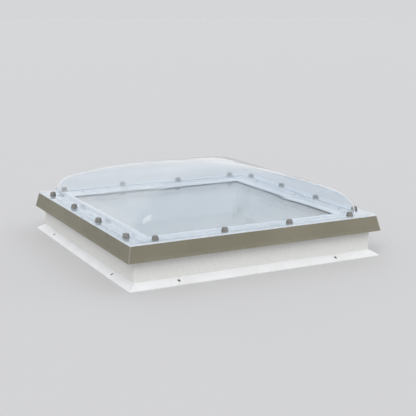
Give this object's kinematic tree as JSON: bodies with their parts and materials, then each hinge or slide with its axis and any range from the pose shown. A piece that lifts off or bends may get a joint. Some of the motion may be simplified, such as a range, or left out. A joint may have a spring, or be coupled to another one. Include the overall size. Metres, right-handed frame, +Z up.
{
  "type": "roof skylight",
  "caption": "Square flat-roof skylight: clear blown dome over a sealed glazed sash, on a white insulated hollow-profile frame with a sloping skirt and screw caps.",
  "frame": {"origin": "middle of the frame's underside, which rests on the roof kerb", "axes": "+Z up through the dome's crown, X and Y square to the sides, -Y the front side of the picture's view"},
  "size_m": [1.278, 1.278, 0.405],
  "materials": {
    "white_profile": "white hollow profile, satin",
    "taupe_profile": "grey-brown profile, matt",
    "foam": "white closed-cell foam",
    "seal_foam": "pale grey sealing strip",
    "clear_acrylic": "clear, glossy",
    "pane_glass": "clear float glass",
    "dark_rubber": "black gasket",
    "spacer_metal": "plain mill",
    "key_metal": "plain mill",
    "screw_steel": "stainless",
    "cap_plastic": "grey moulded plastic",
    "block_plastic": "plain moulded plastic"
  },
  "bodies": {
    "root": {"dome": "clear_acrylic", "dome_screws": "screw_steel", "dome_seal": "seal_foam", "edge_sealant": "dark_rubber", "frame_back": "white_profile", "frame_front": "white_profile", "frame_left": "white_profile", "frame_right": "white_profile", "glazing_bead_back": "white_profile", "glazing_bead_front": "white_profile", "glazing_bead_left": "white_profile", "glazing_bead_right": "white_profile", "glazing_gasket_lower": "dark_rubber", "glazing_gasket_upper": "dark_rubber", "inner_pane": "pane_glass", "insulation_back": "foam", "insulation_front": "foam", "insulation_left": "foam", "insulation_right": "foam", "outer_pane": "pane_glass", "pane_spacer": "spacer_metal", "sash_back": "white_profile", "sash_front": "white_profile", "sash_gasket_inner": "dark_rubber", "sash_gasket_outer": "dark_rubber", "sash_left": "white_profile", "sash_right": "white_profile", "screw_caps": "cap_plastic", "setting_blocks": "block_plastic", "skirt_back": "taupe_profile", "skirt_corner_keys": "key_metal", "skirt_front": "taupe_profile", "skirt_gasket": "dark_rubber", "skirt_left": "taupe_profile", "skirt_right": "taupe_profile"}
  },
  "joints": []
}
